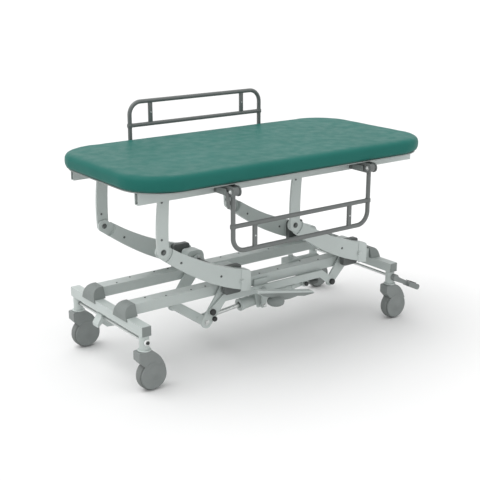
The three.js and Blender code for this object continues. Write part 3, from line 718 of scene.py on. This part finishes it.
# ---------------------------------------------------------------- base details
def make_base_fittings():
    """Caps on the cross members' ends, and screws in the rails and bearing blocks."""
    caps, screws = bmesh.new(), bmesh.new()
    for pair in PAIRS:
        cx = middle(f"end_frame_{pair}")[0]
        for sign in SIDES.values():
            y = sign * 0.291
            y0, y1 = sorted((y, y + sign * 3 * MM))
            add_box(caps, (cx - 19.6 * MM, y0, 0.2314), (cx + 19.6 * MM, y1, 0.2706), 1.4 * MM, 3)
    piece("tube_end_caps", caps, "moulded", "base")
    for side_name, sign in SIDES.items():
        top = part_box(f"base_rail_{side_name}")[1][2]
        for x in (-0.6, -0.52, -0.4, -0.33, -0.05, 0.05, 0.2, 0.28, 0.52, 0.56):
            for y in (0.113, 0.143):
                if (x in (-0.6, 0.2)) == (y == 0.143):
                    continue
                socket_screw(screws, (x, sign * y, top), "Z", 1, 4 * MM, 1.8 * MM)
    for pair in PAIRS:
        for side_name, sign in SIDES.items():
            block = f"bearing_block_{side_name}_{pair}"
            cx = middle(block)[0]
            outer, _ = side_faces(*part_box(block), sign)
            for dx in (-30, 30):
                place = (cx + dx * MM, outer, 0.326)
                socket_screw(screws, place, "Y", sign, 4.5 * MM, 2.5 * MM)
    piece("base_screws", screws, "screw", "base")


# ---------------------------------------------------------------- casters
def make_casters():
    """The wheels with their tyre profile, the discs on the hoods and the stem collars."""
    collar_ring = scaled([(20.5, 0), (26, 0), (27, 1), (27, 3.4), (25.5, 4.6), (20.5, 4.6)])
    for side_name in SIDES:
        for pair in PAIRS:
            corner = f"{side_name}_{pair}"
            node = f"caster_wheel_{corner}"
            low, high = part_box(node)
            cx, cy, cz = middle(node)
            edge = -(high[1] - low[1]) / 2 / MM
            profile = [(7, edge + 4), (40, edge + 4), (46, edge + 2.4), (52, edge + 2.6),
                       (55, edge), (59.5, edge + 1), (61.6, edge + 4), (62.5, edge + 9)]
            profile = scaled(profile)
            profile += [(a, -b) for a, b in reversed(profile)]
            wheel = bmesh.new()
            add_lathe(wheel, profile + [profile[0]], (cx, cy, cz), "Y", 72)
            tyre = piece(f"tyre_{corner}", wheel, "tyre", f"{corner}_wheel")
            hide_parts(node)
            discs = bmesh.new()
            for face in (-1, 1):
                disc = [(0, face * 1.6), (10, face * 1.6), (12, face * 0.4), (47, face * 0.5),
                        (49.5, face * 1.5), (55.0, face * 1.0), (56, face * -1.4)]
                add_lathe(discs, scaled(disc), (cx, cy + face * 22.5 * MM, cz), "Y", 72)
            piece(f"caster_discs_{corner}", discs, "caster", f"{corner}_fork")
            collar = bmesh.new()
            socket_x = middle(f"end_frame_{pair}")[0]
            add_lathe(collar, collar_ring, (socket_x, cy, 0.1686), "Z", 40)
            piece(f"stem_collar_{corner}", collar, "cap", "base")


# ---------------------------------------------------------------- studio
def make_studio():
    """A white floor and background with soft light from above."""
    floor = bmesh.new()
    size = 30.0
    corners = [(-size, -size, 0), (size, -size, 0), (size, size, 0), (-size, size, 0)]
    floor.faces.new([floor.verts.new(c) for c in corners])
    mesh = bpy.data.meshes.new("studio_floor")
    floor.to_mesh(mesh)
    floor.free()
    obj = bpy.data.objects.new("studio_floor", mesh)
    bpy.context.scene.collection.objects.link(obj)
    mat, _, _, shader, _ = node_tree("studio_white")
    shader.inputs["Base Color"].default_value = (0.74, 0.74, 0.74, 1)
    shader.inputs["Roughness"].default_value = 0.9
    obj.data.materials.append(mat)
    world = bpy.data.worlds.new("studio")
    world.use_nodes = True
    background = next(n for n in world.node_tree.nodes if n.type == "BACKGROUND")
    background.inputs["Color"].default_value = (1, 1, 1, 1)
    background.inputs["Strength"].default_value = 1.0
    bpy.context.scene.world = world
    bpy.context.scene.view_settings.view_transform = "Standard"
    lights = (
        ("key", "SUN", (-1.6, 0.9, 4.6), 60.0, 1.5),
        ("fill", "AREA", (1.5, -4.0, 2.6), 3.5, 8.0),
        ("back", "AREA", (1.2, 3.2, 3.4), 3.0, 12.0),
    )
    for name, kind, place, size, power in lights:
        data = bpy.data.lights.new(name, kind)
        data.energy = power
        if kind == "SUN":
            data.angle = math.radians(size)
        else:
            data.shape = "DISK"
            data.size = size
        lamp = bpy.data.objects.new(name, data)
        lamp.location = place
        aim = Vector((0, 0, 0.5)) - Vector(place)
        lamp.rotation_euler = aim.to_track_quat("-Z", "Y").to_euler()
        bpy.context.scene.collection.objects.link(lamp)


def make_camera():
    """A long lens at the front left, a little above the mattress."""
    data = bpy.data.cameras.new("camera")
    data.sensor_width = 36.0
    data.lens = 72.8
    data.clip_end = 100.0
    camera = bpy.data.objects.new("camera", data)
    back = Vector((-0.5695, -0.7710, 0.2849)).normalized()
    right = Vector((0.8043, -0.5942, 0)).normalized()
    up = back.cross(right)
    turn = Matrix((right, up, back)).transposed().to_4x4()
    camera.matrix_world = Matrix.Translation((-2.4538, -3.2580, 1.6319)) @ turn
    bpy.context.scene.collection.objects.link(camera)
    bpy.context.scene.camera = camera


make_camera()
make_studio()
replaced = {"mattress"} | {f"side_rail_{s}" for s in SIDES}
replaced |= {f"caster_wheel_{s}_{p}" for s in SIDES for p in PAIRS}
finish_cad_nodes(replaced)
make_seams(make_mattress())
for each_side in SIDES:
    make_side_rail(each_side)
make_bracket_fittings()
make_arm_fittings()
make_post_fittings()
make_torsion_fittings()
make_linkage_fittings()
make_ram_fittings()
make_pedal_fittings()
make_brake_fittings()
make_base_fittings()
make_casters()
